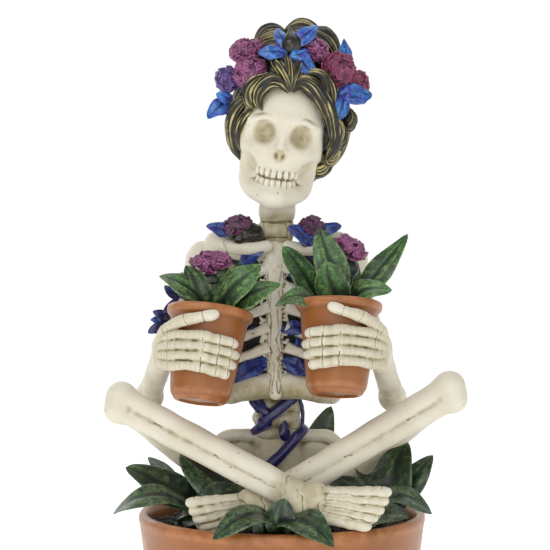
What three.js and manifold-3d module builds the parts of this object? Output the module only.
// A seated catrina: a painted skeleton lady who sits cross-legged in a terracotta flower pot, holds a small
// potted plant in each hand and wears a crown of flowers. Millimetres, +Z up, the front faces -Y.
// The origin is the centre of the felt pad's underside. Left and right are as seen from the front.
//
// Each piece is a function of how much it is swollen: 0 gives the piece itself, and GAP gives the slightly
// larger shape that is cut out of every piece listed after it, so neighbours meet face to face with a gap.
import * as THREE from "three";
import { mergeVertices } from "three/addons/utils/BufferGeometryUtils.js";
import Module from "manifold-3d";

const wasm = await Module();
wasm.setup();

// Driving dimensions.
const GAP = 0.3;
const POT_HEIGHT = 76;
const POT_RIM_RADIUS = 48;
const POT_FOOT_RADIUS = 38.5;
const POT_WALL = 3.2;
const POT_FLOOR = 6;
const FELT_RADIUS = 35;
const FELT_THICKNESS = 1.2;
const SOIL_LEVEL = 71.5;
const WIRE_RADIUS = 1;
const HAND_POT = { height: 30, rim: 13.8, lip: 2.2, top: 12.9, foot: 9.3, wall: 1.6, floor: 2.5 };
const FINGER_RADIUS = 1.55;
const RIB_COUNT = 5;
const RIB_RADIUS = 1.5;

// Places of the figure's joints and ends.
const SPINE_X = -1.5;
const LEFT = {
  side: -1,
  hip: [-17, 9, 79],
  knee: [-53, -13, 113.5],
  ankle: [5, -37.5, 86.5],
  toes: [31, -41.5, 83],
  shoulder: [-27, 8, 161],
  elbow: [-45, 9, 113.5],
  wrist: [-37.5, -23, 130.5],
  potRim: [-23, -23, 144],
  potFoot: [-26.4, -30, 115.5],
};
const RIGHT = {
  side: 1,
  hip: [15, 9, 79],
  knee: [55.2, -13, 117],
  ankle: [-5.5, -27, 83.5],
  toes: [-27, -31.5, 79.5],
  shoulder: [23.5, 8, 161],
  elbow: [37.5, 9, 113.5],
  wrist: [31, -23, 130.5],
  potRim: [18.3, -23, 146.5],
  potFoot: [17.2, -29.5, 117.5],
};

const FINISH = {
  bone: { color: 0xded5bf, roughness: 0.55, metalness: 0 },
  terracotta: { color: 0xb9703f, roughness: 0.5, metalness: 0 },
  soil: { color: 0x14120f, roughness: 0.8, metalness: 0 },
  leaf: { color: 0x2f5a35, roughness: 0.5, metalness: 0 },
  blueLeaf: { color: 0x2a3f9a, roughness: 0.3, metalness: 0.3 },
  bloom: { color: 0x8a3f78, roughness: 0.5, metalness: 0 },
  hair: { color: 0x2b2818, roughness: 0.4, metalness: 0.2 },
  wire: { color: 0x8d8f92, roughness: 0.35, metalness: 1 },
  felt: { color: 0x1d1d1f, roughness: 1, metalness: 0 },
};

const point = (a) => new THREE.Vector3(...a);
const UP = new THREE.Vector3(0, 1, 0);

// A closed three.js geometry as a solid that can be joined and cut.
function solidOf(geometry) {
  const bare = new THREE.BufferGeometry().setAttribute("position", geometry.getAttribute("position"));
  bare.setIndex(geometry.index);
  const merged = mergeVertices(bare, 1e-4);
  const index = merged.index.array;
  const faces = [];
  for (let i = 0; i < index.length; i += 3) {
    const [a, b, c] = [index[i], index[i + 1], index[i + 2]];
    if (a !== b && b !== c && c !== a) faces.push(a, b, c);
  }
  const mesh = (list) =>
    new wasm.Mesh({
      numProp: 3,
      vertProperties: merged.attributes.position.array,
      triVerts: new Uint32Array(list),
    });
  const made = new wasm.Manifold(mesh(faces));
  return made.volume() > 0 ? made : new wasm.Manifold(mesh(faces.reverse()));
}

function geometryOf(solid) {
  const mesh = solid.getMesh();
  return new THREE.BufferGeometry()
    .setAttribute("position", new THREE.BufferAttribute(new Float32Array(mesh.vertProperties), 3))
    .setIndex(new THREE.BufferAttribute(mesh.triVerts, 1));
}

const joined = (solids) => solids.reduce((all, one) => all.add(one));

// A tapered capsule from a to b.
function rod(a, b, radiusA, radiusB = radiusA, sides = 8) {
  const [from, to] = [point(a), point(b)];
  const length = from.distanceTo(to);
  const profile = [];
  const capSteps = 2;
  for (let i = 0; i <= capSteps; i++) {
    const turn = ((i / capSteps) * Math.PI) / 2;
    profile.push(new THREE.Vector2(radiusA * Math.sin(turn), -radiusA * Math.cos(turn)));
  }
  for (let i = 0; i <= capSteps; i++) {
    const turn = ((i / capSteps) * Math.PI) / 2;
    profile.push(new THREE.Vector2(radiusB * Math.cos(turn), length + radiusB * Math.sin(turn)));
  }
  profile[0].x = profile[profile.length - 1].x = 0;
  const geometry = new THREE.LatheGeometry(profile, sides);
  const turn = new THREE.Quaternion().setFromUnitVectors(UP, to.clone().sub(from).normalize());
  geometry.applyQuaternion(turn).translate(from.x, from.y, from.z);
  return solidOf(geometry);
}

// An ellipsoid, turned by degrees about X, Y and Z.
function ball(centre, radii, turn = [0, 0, 0], columns = 10, rows = 6) {
  const geometry = new THREE.SphereGeometry(1, columns, rows).rotateX(Math.PI / 2).scale(...radii);
  const [x, y, z] = turn.map(THREE.MathUtils.degToRad);
  geometry.applyMatrix4(new THREE.Matrix4().makeRotationFromEuler(new THREE.Euler(x, y, z)));
  return solidOf(geometry.translate(...centre));
}

// A round tube along a smooth curve through the points.
function tube(points, radius, steps, sides = 5) {
  const path = new THREE.CatmullRomCurve3(points.map(point), false, "centripetal");
  const section = new THREE.Shape();
  for (let i = 0; i < sides; i++) {
    const turn = (2 * Math.PI * i) / sides;
    const [x, y] = [radius * Math.cos(turn), radius * Math.sin(turn)];
    if (i) section.lineTo(x, y);
    else section.moveTo(x, y);
  }
  return solidOf(new THREE.ExtrudeGeometry(section, { steps, extrudePath: path }));
}

// A solid of revolution about Z; the profile holds [radius, height] pairs and starts and ends on the axis.
function turned(profile, sides = 40) {
  const points = profile.map(([r, z]) => new THREE.Vector2(r, z));
  return solidOf(new THREE.LatheGeometry(points, sides).rotateX(Math.PI / 2));
}

// A thick pointed leaf from base to tip. The crown is how far its middle arches along the face's normal.
function leaf({ base, tip, width, thickness = 2, crown = 3, face = [0, 0, 1] }, swell) {
  const [start, end] = [point(base), point(tip)];
  const along = end.clone().sub(start);
  const side = new THREE.Vector3().crossVectors(along, point(face)).normalize();
  const normal = new THREE.Vector3().crossVectors(side, along).normalize();
  const geometry = new THREE.SphereGeometry(1, 6, 6);
  const places = geometry.getAttribute("position");
  for (let i = 0; i < places.count; i++) {
    const [x, y, z] = [places.getX(i), places.getY(i), places.getZ(i)];
    const t = Math.acos(THREE.MathUtils.clamp(-y, -1, 1)) / Math.PI;
    const ring = Math.hypot(x, z) || 1;
    const spread = Math.sin(Math.PI * t ** 0.8) ** 0.8;
    const full = ring > 1e-6 ? 1 : 0;
    const across = full * (x / ring) * (spread * (width / 2) + Math.sin(Math.PI * t) * swell);
    const lift = full * (z / ring) * (spread * (thickness / 2) + Math.sin(Math.PI * t) * swell);
    const arch = 4 * t * (1 - t) * crown;
    const reach = t + ((t - 0.5) * 2 * swell) / along.length();
    const place = start.clone().addScaledVector(along, reach);
    place.addScaledVector(side, across).addScaledVector(normal, lift + arch);
    places.setXYZ(i, place.x, place.y, place.z);
  }
  return solidOf(geometry);
}

// A clump of leaves that grow from one root.
const clump = (root, rootRadii, leaves) => (swell) =>
  joined([ball(root, rootRadii.map((r) => r + swell), [0, 0, 0], 8, 5), ...leaves.map((l) => leaf(l, swell))]);

// A flower head: a dome that faces outwards along its direction, on a short calyx.
const blossom = (centre, radius, facing) => (swell) => {
  const out = point(facing).normalize();
  const back = point(centre).addScaledVector(out, -0.7 * radius);
  return ball(centre, Array(3).fill(radius + swell), [0, 0, 0], 8, 5).add(
    rod(centre, back.toArray(), 0.75 * radius + swell, 0.45 * radius + swell, 8),
  );
};

const pieces = [];
const piece = (name, finish, make) => pieces.push({ name, finish, make });
const bothSides = (make) => [LEFT, RIGHT].forEach((limb) => make(limb, limb === LEFT ? "left" : "right"));
const between = (a, b, share) => point(a).lerp(point(b), share).toArray();
const shifted = (a, b) => a.map((value, i) => value + b[i]);

// ---- Armature: the wires that hold the figure up.
function addWires() {
  const spine = [[SPINE_X, 12, 20], [SPINE_X, 12, 82], [SPINE_X, 12, 112], [SPINE_X, 9.5, 140],
    [SPINE_X, 8, 165], [SPINE_X + 0.7, 6.5, 180], [2, 5, 204]];
  piece("spine_rod", "wire", (swell) => tube(spine, WIRE_RADIUS + swell, 14));
  const arms = [between(LEFT.elbow, LEFT.wrist, 0.8), LEFT.elbow, between(LEFT.elbow, LEFT.shoulder, 0.5),
    LEFT.shoulder, [-14, 13.5, 158], [SPINE_X, 15, 157], [11, 13.5, 158],
    RIGHT.shoulder, between(RIGHT.elbow, RIGHT.shoulder, 0.5), RIGHT.elbow, between(RIGHT.elbow, RIGHT.wrist, 0.8)];
  piece("arm_wire", "wire", (swell) => tube(arms, WIRE_RADIUS + swell, 30));
  const legs = [between(LEFT.knee, LEFT.ankle, 0.8), between(LEFT.knee, LEFT.ankle, 0.4), LEFT.knee,
    between(LEFT.knee, LEFT.hip, 0.5), LEFT.hip, [SPINE_X, 7, 81], RIGHT.hip,
    between(RIGHT.knee, RIGHT.hip, 0.5), RIGHT.knee, between(RIGHT.knee, RIGHT.ankle, 0.4),
    between(RIGHT.knee, RIGHT.ankle, 0.8)];
  piece("leg_wire", "wire", (swell) => tube(legs, WIRE_RADIUS + swell, 30));
}

// ---- Base: felt pad and flower pot. The soil comes after the pieces that are set in it.
const potRadiusAt = (z) => POT_FOOT_RADIUS + ((POT_RIM_RADIUS - POT_FOOT_RADIUS) * z) / POT_HEIGHT;

function addBase() {
  const underside = FELT_THICKNESS + GAP;
  piece("felt_pad", "felt", (swell) =>
    turned([[0, 0], [FELT_RADIUS + swell, 0], [FELT_RADIUS + swell, FELT_THICKNESS + swell],
      [0, FELT_THICKNESS + swell]]));
  piece("base_pot", "terracotta", (swell) => {
    const floor = underside + POT_FLOOR + swell;
    const lip = POT_HEIGHT + swell;
    return turned([[0, underside], [potRadiusAt(0) - 1, underside], [potRadiusAt(0) + swell, underside + 1.5],
      [potRadiusAt(POT_HEIGHT) - 0.5 + swell, POT_HEIGHT - 5], [potRadiusAt(POT_HEIGHT) + swell, POT_HEIGHT - 2],
      [potRadiusAt(POT_HEIGHT) - 1 + swell, lip], [potRadiusAt(POT_HEIGHT) - POT_WALL + 1 - swell, lip],
      [potRadiusAt(POT_HEIGHT) - POT_WALL - swell, POT_HEIGHT - 2],
      [potRadiusAt(0) - POT_WALL - swell, floor], [0, floor]], 32);
  });
}

function addSoil() {
  piece("soil_plug", "soil", (swell) => {
    const floor = FELT_THICKNESS + POT_FLOOR + 2 * GAP;
    const inside = (z) => potRadiusAt(z) - POT_WALL - 2 * GAP + swell;
    return turned([[0, floor], [inside(floor) - 1.5, floor], [inside(SOIL_LEVEL) - 0.4, SOIL_LEVEL - 1],
      [inside(SOIL_LEVEL) - 6, SOIL_LEVEL + swell], [0, SOIL_LEVEL + 1 + swell]], 32);
  });
}

// ---- Hand pots. A pot's frame has its origin at the middle of the pot and its Z axis towards the rim.
function potFrame(limb) {
  const [rim, foot] = [point(limb.potRim), point(limb.potFoot)];
  const axis = rim.clone().sub(foot).normalize();
  const turn = new THREE.Quaternion().setFromUnitVectors(new THREE.Vector3(0, 0, 1), axis);
  return new THREE.Matrix4().compose(rim.clone().lerp(foot, 0.5), turn, new THREE.Vector3(1, 1, 1));
}

const placed = (solid, frame) => solidOf(geometryOf(solid).applyMatrix4(frame));

function handPotProfile(swell) {
  const { height, rim, lip, top, foot, wall, floor } = HAND_POT;
  const half = height / 2;
  return [[0, -half - swell], [foot - 0.8, -half - swell], [foot + swell, -half + 0.8], [top + swell, half - lip],
    [rim + swell, half - lip + 0.5], [rim + swell, half - 0.5], [rim - 0.6, half + swell],
    [top - wall + 0.4 - swell, half + swell], [top - wall - swell, half - 1], [foot - wall - swell, -half + floor + swell],
    [0, -half + floor + swell]];
}

function addHandPots() {
  bothSides((limb, side) =>
    piece(`hand_pot_${side}`, "terracotta", (swell) => placed(turned(handPotProfile(swell), 20), potFrame(limb))));
}

// ---- Hands: palm and four fingers are one slab bent round the pot, with a thumb above it.
const HAND = { top: 5.2, bottom: -7.2, thickness: 3.4, groove: 0.7, fingers: 4, reach: [0.95, 1, 0.97, 0.88] };

function onPot(limb, share, z, clear) {
  // The share runs round the pot's axis from its outer side, past the front, to its inner side.
  const degrees = limb === LEFT ? 180 + 160 * share : 360 - 164 * share;
  const { height, foot, top } = HAND_POT;
  const wall = foot + ((top - foot) * (z + height / 2)) / height;
  const turn = THREE.MathUtils.degToRad(degrees);
  return [(wall + clear) * Math.cos(turn), (wall + clear) * Math.sin(turn), z];
}

function handSlab(limb, swell) {
  const geometry = new THREE.BoxGeometry(1, 1, 1, 8, 2 * HAND.fingers, 1);
  const places = geometry.getAttribute("position");
  for (let i = 0; i < places.count; i++) {
    const [x, y, z] = [places.getX(i) + 0.5, places.getY(i) + 0.5, places.getZ(i) + 0.5];
    const finger = Math.min(HAND.fingers - 1, Math.floor((1 - y) * HAND.fingers));
    const inGroove = Math.round(y * 2 * HAND.fingers) % 2 === 0;
    const grow = (value) => (value === 0 ? -swell : value === 1 ? swell : 0);
    const share = x * HAND.reach[finger] + grow(x) / HAND_POT.top / 2.8;
    const height = HAND.bottom + (HAND.top - HAND.bottom) * y + grow(y);
    const outer = HAND.thickness - (inGroove ? HAND.groove : 0) + (x < 0.45 ? 1.1 : 0) + swell;
    const place = onPot(limb, share, height, GAP + 0.5 + (z === 1 ? outer : -swell));
    places.setXYZ(i, ...place);
  }
  return solidOf(geometry);
}

function addHands() {
  bothSides((limb, side) =>
    piece(`hand_${side}`, "bone", (swell) => {
      const thumb = [[0.1, 3.5, 2.2], [0.3, 7.4, 2.2], [0.54, 10, 2]].map(([share, z, clear]) => onPot(limb, share, z, clear));
      const joint = (a, b) => rod(a, b, 1.9 + swell, 1.6 + swell, 6);
      return placed(joined([handSlab(limb, swell), joint(thumb[0], thumb[1]), joint(thumb[1], thumb[2])]), potFrame(limb));
    }));
}

// ---- Head and neck.
// The skull's own frame has its origin at the skull's middle, +Z towards the crown and -Y towards the face.
const SKULL_TILT = [0, 9, 0];
const SKULL_MIDDLE = [1.6, 0, 200.5];

function skullFrame() {
  const turn = new THREE.Quaternion().setFromEuler(new THREE.Euler(...SKULL_TILT.map(THREE.MathUtils.degToRad)));
  return new THREE.Matrix4().compose(point(SKULL_MIDDLE), turn, new THREE.Vector3(1, 1, 1));
}

function addHead() {
  piece("skull", "bone", (swell) => {
    const lobe = (centre, radii, columns, rows) => ball(centre, radii.map((r) => r + swell), [0, 0, 0], columns, rows);
    const bone = joined([
      lobe([0, 5, 6.5], [14.6, 17.5, 16.8], 12, 8),
      lobe([0, -4.5, -3.5], [13.4, 9.2, 8.5], 12, 7),
      lobe([0, -7, -12], [9.8, 7.6, 7.5], 12, 6),
      lobe([0, -5.5, -18.3], [9.8, 8.3, 5.2], 10, 6),
    ]);
    const hollows = [ball([-6.4, -13, 0.5], [3.9, 5, 3.7]), ball([6.4, -13, 0.5], [3.9, 5, 3.7]),
      ball([0, -14.5, -6.5], [2.2, 3, 3], [0, 0, 0], 8, 5)];
    return placed(swell ? bone : bone.subtract(joined(hollows)), skullFrame());
  });
  piece("neck", "bone", (swell) => joined([0, 1, 2, 3, 4, 5].map((i) =>
    ball([SPINE_X - 0.5 + 0.3 * i, 7 - 0.3 * i, 166.5 + 3.9 * i], [5.8 + swell, 5.4 + swell, 2.8 + swell], [0, 0, 0], 10, 5))));
}

// ---- Trunk: a dark core, the breastbone, five rib hoops and the costal margin round it, then the spine and pelvis.
// The core's shape holds [height, share of the full width] pairs, from the bottom to the top.
const CHEST = {
  centre: [SPINE_X, 7],
  radii: [20, 12.5],
  shape: [[111, 0.74], [114, 0.88], [121, 0.97], [131, 1], [142, 0.98], [151, 0.88], [158, 0.7], [163, 0.46]],
};

function chestShare(z) {
  const { shape } = CHEST;
  const next = Math.max(1, shape.findIndex(([height], i) => height >= z || i === shape.length - 1));
  const [[z0, share0], [z1, share1]] = [shape[next - 1], shape[next]];
  return THREE.MathUtils.lerp(share0, share1, THREE.MathUtils.clamp((z - z0) / (z1 - z0), 0, 1));
}

// A point on the chest at a height, out at an angle that starts from the front and runs towards +X.
function onChest(z, degrees, clear) {
  const [cx, cy] = CHEST.centre;
  const [rx, ry] = CHEST.radii;
  const turn = THREE.MathUtils.degToRad(degrees);
  const share = chestShare(z);
  return [cx + (rx * share + clear) * Math.sin(turn), cy - (ry * share + clear) * Math.cos(turn), z];
}

function chestCore(swell) {
  const [cx, cy] = CHEST.centre;
  const [rx, ry] = CHEST.radii;
  const rings = CHEST.shape.map(([z, share], i, all) => [share * rx + swell, z + (i === 0 ? -swell : i === all.length - 1 ? swell : 0)]);
  const profile = [[0, rings[0][1]], ...rings, [0, rings[rings.length - 1][1]]];
  const points = profile.map(([r, z]) => new THREE.Vector2(r, z));
  return solidOf(new THREE.LatheGeometry(points, 16).rotateX(Math.PI / 2).scale(1, (ry + swell) / (rx + swell), 1).translate(cx, cy, 0));
}

function addTrunk() {
  piece("chest_core", "soil", chestCore);
  piece("costal_margin", "bone", (swell) => {
    const stops = [[-118, 116], [-92, 112.5], [-62, 112.8], [-32, 115.5], [0, 118], [32, 115.5], [62, 112.8], [92, 112.5], [118, 116]];
    return tube(stops.map(([a, z]) => onChest(z, a, 1.4)), 3.1 + swell, 16, 7);
  });
  piece("sternum", "bone", (swell) => {
    const front = (z, clear) => onChest(z, 0, clear);
    return joined([
      rod(front(160, 1.2), front(150, 1.5), 3.9 + swell, 2.9 + swell),
      rod(front(150, 1.5), front(124.5, 2), 2.9 + swell, 2.6 + swell),
    ]);
  });
  for (let i = 0; i < RIB_COUNT; i++) {
    const front = 156 - 6.6 * i;
    const stops = [-168, -140, -105, -70, -40, -16];
    const drop = [3, 1, -2.5, -4, -2.8, 0];
    piece(`rib_hoop_${i + 1}`, "bone", (swell) => {
      const half = stops.map((a, n) => onChest(front + drop[n], a, 0.7 + RIB_RADIUS));
      const other = half.map(([x, y, z]) => [2 * SPINE_X - x, y, z]).reverse();
      const behind = onChest(front + drop[0], 180, 0.7 + RIB_RADIUS);
      return tube([...half.reverse(), behind, ...other.reverse()], RIB_RADIUS + swell, 26);
    });
  }
  piece("lumbar_spine", "bone", (swell) => joined([0, 1, 2, 3, 4].map((i) =>
    ball([SPINE_X, 11, 101 + 4.6 * i], [6 + swell, 5.6 + swell, 3.2 + swell], [0, 0, 0], 10, 5))));
}

function addPelvis() {
  const [x, y] = [SPINE_X, 10];
  piece("pelvis", "bone", (swell) => joined([
    ball([x, y + 2, 90], [8.5 + swell, 6 + swell, 12.5 + swell]),
    ...[-1, 1].map((sign) =>
      ball([x + sign * 14.5, y - 1, 92], [9.5 + swell, 4.5 + swell, 11.5 + swell], [0, sign * 20, sign * -12])),
    rod([x - 13, y - 2, 79], [x + 13, y - 2, 79], 5.5 + swell),
  ]));
}

// ---- Limbs.
function addShoulders() {
  bothSides((limb, side) => {
    const { side: sign, shoulder } = limb;
    piece(`clavicle_${side}`, "bone", (swell) =>
      rod([SPINE_X + sign * 6.5, -3.5, 164], [SPINE_X + sign * 21, 2, 164.5], 2.6 + swell, 3.4 + swell, 8));
    piece(`scapula_${side}`, "bone", (swell) => joined([
      ball([SPINE_X + sign * 15, 21.5, 150], [8 + swell, 2.2 + swell, 13 + swell], [8, 0, sign * -14], 12, 8),
      rod([SPINE_X + sign * 15, 20, 160], shifted(shoulder, [sign * -2, 3, 6.5]), 2.2 + swell, 2.4 + swell, 8),
    ]));
  });
}

function addArms() {
  bothSides((limb, side) => {
    const { shoulder, elbow, wrist } = limb;
    piece(`humerus_${side}`, "bone", (swell) => joined([
      rod(shoulder, between(shoulder, elbow, 0.25), 5.2 + swell, 3.5 + swell),
      rod(between(shoulder, elbow, 0.25), between(shoulder, elbow, 0.88), 3.5 + swell, 4 + swell),
    ]));
    piece(`forearm_${side}`, "bone", (swell) => joined([
      rod(elbow, between(elbow, wrist, 0.9), 4.8 + swell, 3.6 + swell),
      rod(shifted(elbow, [0, 0, 3]), shifted(between(elbow, wrist, 0.9), [0, 0, 4]), 2.6 + swell, 2.4 + swell, 8),
    ]));
  });
}

function addLegs() {
  bothSides((limb, side) => {
    const { knee, hip } = limb;
    piece(`femur_${side}`, "bone", (swell) => joined([
      rod(hip, between(hip, knee, 0.2), 4.8 + swell, 3.9 + swell),
      rod(between(hip, knee, 0.2), between(hip, knee, 0.75), 3.9 + swell, 4.2 + swell),
      rod(between(hip, knee, 0.75), between(hip, knee, 0.94), 4.2 + swell, 5 + swell),
    ]));
  });
  bothSides((limb, side) => {
    const { knee, ankle, side: sign } = limb;
    const across = [sign * -1.2, 0, -2.3];
    const thin = [sign * 1, 0, 2];
    piece(`shin_${side}`, "bone", (swell) => joined([
      rod(shifted(knee, thin), shifted(ankle, thin), 3.9 + swell, 3.7 + swell),
      rod(shifted(knee, across), shifted(between(knee, ankle, 0.95), across), 3.2 + swell, 3.1 + swell),
      rod(knee, between(knee, ankle, 0.12), 6.2 + swell, 4.9 + swell),
    ]));
  });
  bothSides((limb, side) => {
    const { ankle, toes } = limb;
    const run = point(toes).sub(point(ankle)).normalize();
    const spread = new THREE.Vector3(0, 0, 1).addScaledVector(run, -run.z).normalize();
    const ray = (rank) => {
      const lift = spread.clone().multiplyScalar(rank * 3.1).toArray();
      return [shifted(between(ankle, toes, 0.2), shifted(lift.map((x) => 0.5 * x), [0, 0, -2])),
        shifted(toes, lift)];
    };
    piece(`foot_${side}`, "bone", (swell) => joined([
      ball(shifted(ankle, [0, -1, -2]), [5.5 + swell, 5 + swell, 5.5 + swell], [0, 0, 0], 8, 5),
      ...[-2, -1, 0, 1, 2].map((rank) => rod(...ray(rank), 2.3 + swell, 1.8 + swell, 5)),
    ]));
  });
}

// ---- Hair and flower crown.
function addHair() {
  piece("hair_curls", "hair", (swell) => joined([
    ball([17.5, 7, 203.5], [7 + swell, 8 + swell, 8 + swell], [0, 0, 0], 8, 5),
    ball([12, 8.5, 194], [6 + swell, 7 + swell, 7 + swell], [0, 0, 0], 8, 5),
    ball([5, 13.5, 188], [6.5 + swell, 6.5 + swell, 6 + swell], [0, 0, 0], 8, 5),
    ball([-3, 18, 187], [9 + swell, 7.5 + swell, 7.5 + swell], [0, 0, 0], 8, 5),
  ]));
  piece("hair_cap", "hair", (swell) => joined([
    ball([3.3, 11, 206.5], [21.2 + swell, 18.5 + swell, 22 + swell], SKULL_TILT, 12, 9),
    ball([4, 3, 217], [17.5 + swell, 13.5 + swell, 12 + swell], SKULL_TILT, 12, 8),
  ]).subtract(ball([0.4, -18, 191], [14.8, 18, 22.5], SKULL_TILT, 12, 8))
    .subtract(ball([SPINE_X, 5, 177], [13, 14, 12], [0, 0, 0], 10, 6)));
  piece("hair_updo", "hair", (swell) => joined([
    ball([6.5, 8, 230], [11.2 + swell, 12 + swell, 11 + swell]),
    ball([-6.5, 8, 226.5], [9.5 + swell, 10.5 + swell, 9 + swell]),
    ball([14, 8, 225.5], [9.5 + swell, 11 + swell, 10.5 + swell]),
  ]));
}

function addCrown() {
  const flowers = [
    [[-10.8, -8, 221], 5.4], [[-12.5, -2, 228], 5], [[-19.5, 0, 218.5], 3.8],
    [[10.8, -6.5, 229.5], 4], [[19.3, -5, 222], 6], [[26.5, 1, 218.5], 3.9],
  ];
  const middle = [3.5, 9, 212];
  flowers.forEach(([centre, radius], i) => {
    const out = centre.map((value, axis) => value - middle[axis]);
    piece(`crown_flower_${i + 1}`, "bloom", blossom(centre, radius, out));
  });
  const blade = (base, tip, width, face, crown = 1) => ({ base, tip, width, face, crown, thickness: 2 });
  piece("crown_leaves_left", "blueLeaf", clump([-18.5, -3, 211.5], [2.6, 2.6, 2.6], [
    blade([-18, -3, 212], [-25.5, -5, 205.5], 7, [-0.3, -1, 0.3]),
    blade([-17.5, -3.5, 212], [-20, -7, 214.5], 4, [-0.3, -1, 0.3]),
  ]));
  piece("crown_leaves_centre", "blueLeaf", clump([2.8, -10, 227], [2.6, 2.2, 2.6], [
    blade([2, -10, 226.5], [-7.5, -10.5, 227.8], 5, [0, -1, 0.4]),
    blade([2, -9.5, 227.5], [-2, -5, 235.5], 4.5, [0, -1, 0.4]),
    blade([3, -10, 227.5], [11, -7, 236.5], 5.5, [0, -1, 0.5]),
    blade([3.5, -10.5, 227], [9.8, -11.5, 220.5], 6.5, [0.2, -1, 0.3]),
  ]));
  piece("crown_leaves_right", "blueLeaf", clump([20.5, -7.5, 213.5], [2.6, 2.4, 2.6], [
    blade([20, -7.5, 214], [18, -9, 206], 5.5, [0.3, -1, 0]),
    blade([20.5, -7.5, 214], [29.5, -3, 215.5], 6.5, [0.3, -1, 0.3]),
    blade([21, -7, 215.5], [23.5, -2, 228.5], 4.5, [0.8, -1, 0.5]),
  ]));
}

function addCollar() {
  piece("collar_posy_left", "bloom", (swell) => joined([
    blossom([-15.2, -3, 170.6], 4.6, [-0.2, -0.6, 1])(swell),
    ball([-11, -1.5, 168.4], [4.6 + swell, 4 + swell, 3.6 + swell]),
    leaf({ base: [-17, -2, 169.5], tip: [-25.3, -4, 170.8], width: 6, crown: 1 }, swell),
  ]));
  piece("collar_posy_right", "bloom", (swell) => joined([
    blossom([9.8, -3, 170.8], 4.2, [0.2, -0.6, 1])(swell),
    leaf({ base: [9, -3, 167.5], tip: [1.6, -6.5, 170.5], width: 6.5, crown: 1, face: [0.4, -1, 0.4] }, swell),
    leaf({ base: [11.5, -2, 169.5], tip: [19.8, -3.5, 171.5], width: 5.5, crown: 1 }, swell),
  ]));
}

// ---- Plants in the hand pots.
function addHandPlants() {
  const plug = (limb, swell) => {
    const { height, top, foot, wall, floor } = HAND_POT;
    const half = height / 2;
    const thin = wall + GAP - swell;
    return placed(turned([[0, -half + floor + GAP], [foot - thin, -half + floor + GAP], [top - thin - 0.4, half - 3 + swell],
      [0, half - 1.5 + swell]], 16), potFrame(limb));
  };
  const heart = ({ potRim: [x, y, z] }, swell) => ball([x, y + 1, z - 0.5], [8 + swell, 7.5 + swell, 4 + swell]);
  const plants = {
    left: [LEFT, [
      { base: [-25, -22, 144.5], tip: [-38.7, -27, 155.5], width: 10.5, crown: 3, face: [0.3, -0.6, 1] },
      { base: [-20.5, -24, 144], tip: [-7.7, -28, 158.5], width: 11.5, crown: 2.4, face: [-0.5, -1, 0.6] },
      { base: [-17, -23, 143.5], tip: [-1, -26, 152.5], width: 10, crown: 2.8, face: [-0.2, -0.8, 1] },
      { base: [-26, -18, 144], tip: [-33, -11, 156], width: 9, crown: 1.5, face: [0.5, -0.4, 1] },
      { base: [-21, -18, 144], tip: [-15, -9.5, 154], width: 9, crown: 1.5, face: [-0.2, -0.8, 0.6] },
    ]],
    right: [RIGHT, [
      { base: [12.5, -24.5, 146.5], tip: [-2.4, -28, 145.5], width: 8.5, crown: 4, face: [0, -0.6, 1] },
      { base: [14.5, -21, 146.5], tip: [0.5, -17, 164.2], width: 10.5, crown: -1.2, face: [0.6, -1, 0.5] },
      { base: [18.5, -21, 147.5], tip: [12.4, -17, 170], width: 10.5, crown: 1, face: [0, -1, 0.2] },
      { base: [17.5, -25, 146.5], tip: [14, -29, 160], width: 10.5, crown: -1, face: [0, -1, 0.2] },
      { base: [22, -21, 147], tip: [40, -18.5, 168], width: 9.5, crown: -1.5, face: [-0.8, -1, 0.6] },
      { base: [23, -23, 146.5], tip: [34.5, -27, 151.5], width: 10, crown: 4, face: [-0.2, -0.8, 1] },
    ]],
  };
  Object.entries(plants).forEach(([side, [limb, leaves]]) =>
    piece(`hand_plant_${side}`, "leaf", (swell) => joined([plug(limb, swell), heart(limb, swell),
      ...leaves.map((l) => leaf(l, swell))])));
  piece("plant_flower_left", "bloom", (swell) => joined([
    ball([-23, -20, 159.8], [7.2 + swell, 5.5 + swell, 3.4 + swell]),
    rod([-23, -21, 149], [-23, -20, 157.5], 3.2 + swell, 4 + swell, 8),
  ]));
  piece("plant_flower_right", "bloom", (swell) => joined([
    ball([22.2, -14, 164], [6.4 + swell, 4.5 + swell, 3.4 + swell], [0, 31, 0]),
    rod([20.5, -17, 151], [22, -14.5, 162], 2.2 + swell, 3.2 + swell, 8),
  ]));
}

// ---- Vines: one round the lumbar spine, one round the left upper arm.
function addVines() {
  const around = (centre, radius, degrees, z) => {
    const turn = THREE.MathUtils.degToRad(degrees);
    return [centre[0] + radius * Math.sin(turn), centre[1] - radius * Math.cos(turn), z];
  };
  const waist = [SPINE_X, 11];
  piece("spine_vine", "blueLeaf", (swell) => joined([
    tube([[70, 117.5], [20, 112.5], [-30, 107.5], [-80, 103.8]].map(([a, z]) => around(waist, 6.9, a, z)), 1.5 + swell, 8),
    tube([[-80, 103.8], [-130, 101], [-180, 102.5], [-230, 105], [-275, 102.5], [-320, 98], [-350, 91]]
      .map(([a, z], i) => around(waist, i > 4 ? 7.4 : 6.9, a, z)), 1.4 + swell, 12),
  ]));
  const arm = (share, degrees, reach) => {
    const [x, y, z] = between(LEFT.shoulder, LEFT.elbow, share);
    return around([x, y], reach, degrees, z);
  };
  piece("arm_vine", "blueLeaf", (swell) =>
    tube([0.22, 0.3, 0.38, 0.46, 0.54, 0.62, 0.7].map((share, i) => arm(share, -110 + 95 * i, 5)), 1.2 + swell, 18));
}

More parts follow.
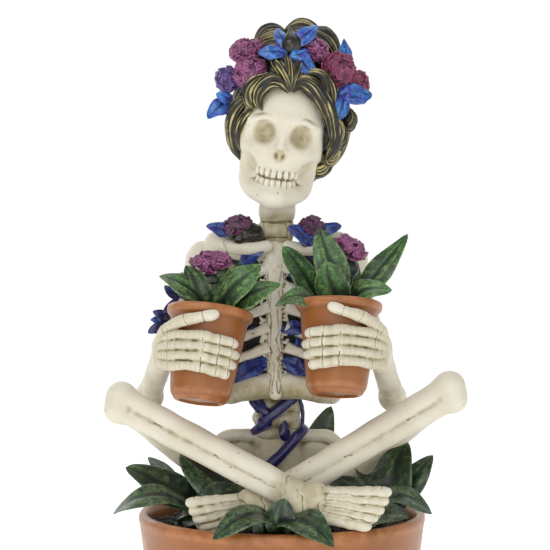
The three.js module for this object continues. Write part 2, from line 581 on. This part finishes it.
// ---- Leaves in the base pot.
function addFoliage() {
  const low = { thickness: 2.4 };
  piece("foliage_left", "leaf", clump([-31, -9, 73], [6, 6, 4], [
    { ...low, base: [-28, -12, 77], tip: [-55.4, -15, 76.8], width: 11, crown: 7.5, face: [0, -0.5, 1] },
    { ...low, base: [-25, -9, 79], tip: [-51.8, -8, 91.3], width: 12, crown: 0.6, face: [0.3, -1, 0.8] },
    { ...low, base: [-29, -6, 74.5], tip: [-45.5, 9, 92.5], width: 9, crown: 1.5, face: [0.5, -0.5, 1] },
    { ...low, base: [-14, -13, 79], tip: [-33.5, -5, 96], width: 15, crown: 1.5, face: [0.3, -1, 0.3] },
    { ...low, base: [-31, -14, 76], tip: [-14, -20, 85], width: 12, crown: 2, face: [-0.3, -1, 1] },
  ]));
  piece("foliage_right", "leaf", clump([32, -9, 73], [6, 6, 4], [
    { ...low, base: [29, -13, 77], tip: [48.5, -18, 77.5], width: 12, crown: 7, face: [0, -0.5, 1] },
    { ...low, base: [33, -8, 75], tip: [50.2, -4, 94.8], width: 10, crown: 1, face: [-0.4, -1, 0.6] },
    { ...low, base: [31, -9, 76], tip: [41.5, -6, 99.5], width: 15, crown: 1.2, face: [-0.4, -1, 0.4] },
    { ...low, base: [26, -32, 76.5], tip: [39.5, -37.5, 79.5], width: 9, crown: 3, face: [0, -0.6, 1] },
    { ...low, base: [31, -12, 76], tip: [27, -33, 77], width: 7, crown: 2, face: [0, 0, 1] },
    { ...low, base: [29, -12, 76], tip: [15, -17, 88], width: 12, crown: 2, face: [0.3, -1, 1] },
  ]));
  piece("foliage_front", "leaf", clump([-3, -40, 77.5], [4.5, 3.2, 4], [
    { ...low, base: [-3, -40, 78.5], tip: [-21.5, -50, 75], width: 11, crown: 6, face: [0, -0.6, 1] },
    { ...low, base: [-1, -41, 77], tip: [0.5, -45, 86], width: 9, crown: 1, face: [0, -1, 0.4] },
    { ...low, base: [0, -41, 79], tip: [15.5, -51.5, 73.5], width: 11, crown: 4.5, face: [0, -0.6, 1] },
  ]));
  piece("foliage_back", "leaf", clump([2, 31, 73], [7, 6, 4], [
    { ...low, base: [4, 30, 75], tip: [17.2, 27.5, 107.5], width: 11, crown: 1.5, face: [0, -1, 0.3] },
    { ...low, base: [0, 30, 75], tip: [-18, 34, 99], width: 13, crown: 1.5, face: [0.3, 1, 0.6] },
    { ...low, base: [2, 33, 75], tip: [2, 53, 82], width: 13, crown: 6, face: [0, 0.3, 1] },
    { ...low, base: [5, 32, 75], tip: [35, 42, 79], width: 13, crown: 7, face: [0, 0.3, 1] },
    { ...low, base: [-2, 32, 75], tip: [-36, 39, 79], width: 13, crown: 7, face: [0, 0.3, 1] },
  ]));
}

[addWires, addBase, addHandPots, addHead, addTrunk, addShoulders, addPelvis, addArms, addHands, addLegs, addSoil,
  addHair, addCrown, addCollar, addHandPlants, addVines, addFoliage].forEach((add) => add());

// Two boxes that come within the gap of each other.
const close = (a, b) => [0, 1, 2].every((i) => a.min[i] - GAP < b.max[i] && b.min[i] - GAP < a.max[i]);

// Cuts each piece by the swollen shapes of the pieces before it, and keeps its largest body.
function fitTogether() {
  const swollen = [];
  return pieces.map(({ name, finish, make }) => {
    let solid = make(0);
    swollen.forEach((other) => {
      if (close(solid.boundingBox(), other.boundingBox())) solid = solid.subtract(other);
    });
    const kept = solid.decompose().sort((a, b) => b.volume() - a.volume())[0];
    swollen.push(make(GAP));
    const material = new THREE.MeshStandardMaterial(FINISH[finish]);
    const mesh = new THREE.Mesh(geometryOf(kept), material);
    mesh.name = name;
    return mesh;
  });
}

const catrina = new THREE.Group();
catrina.add(...fitTogether());

export default catrina;
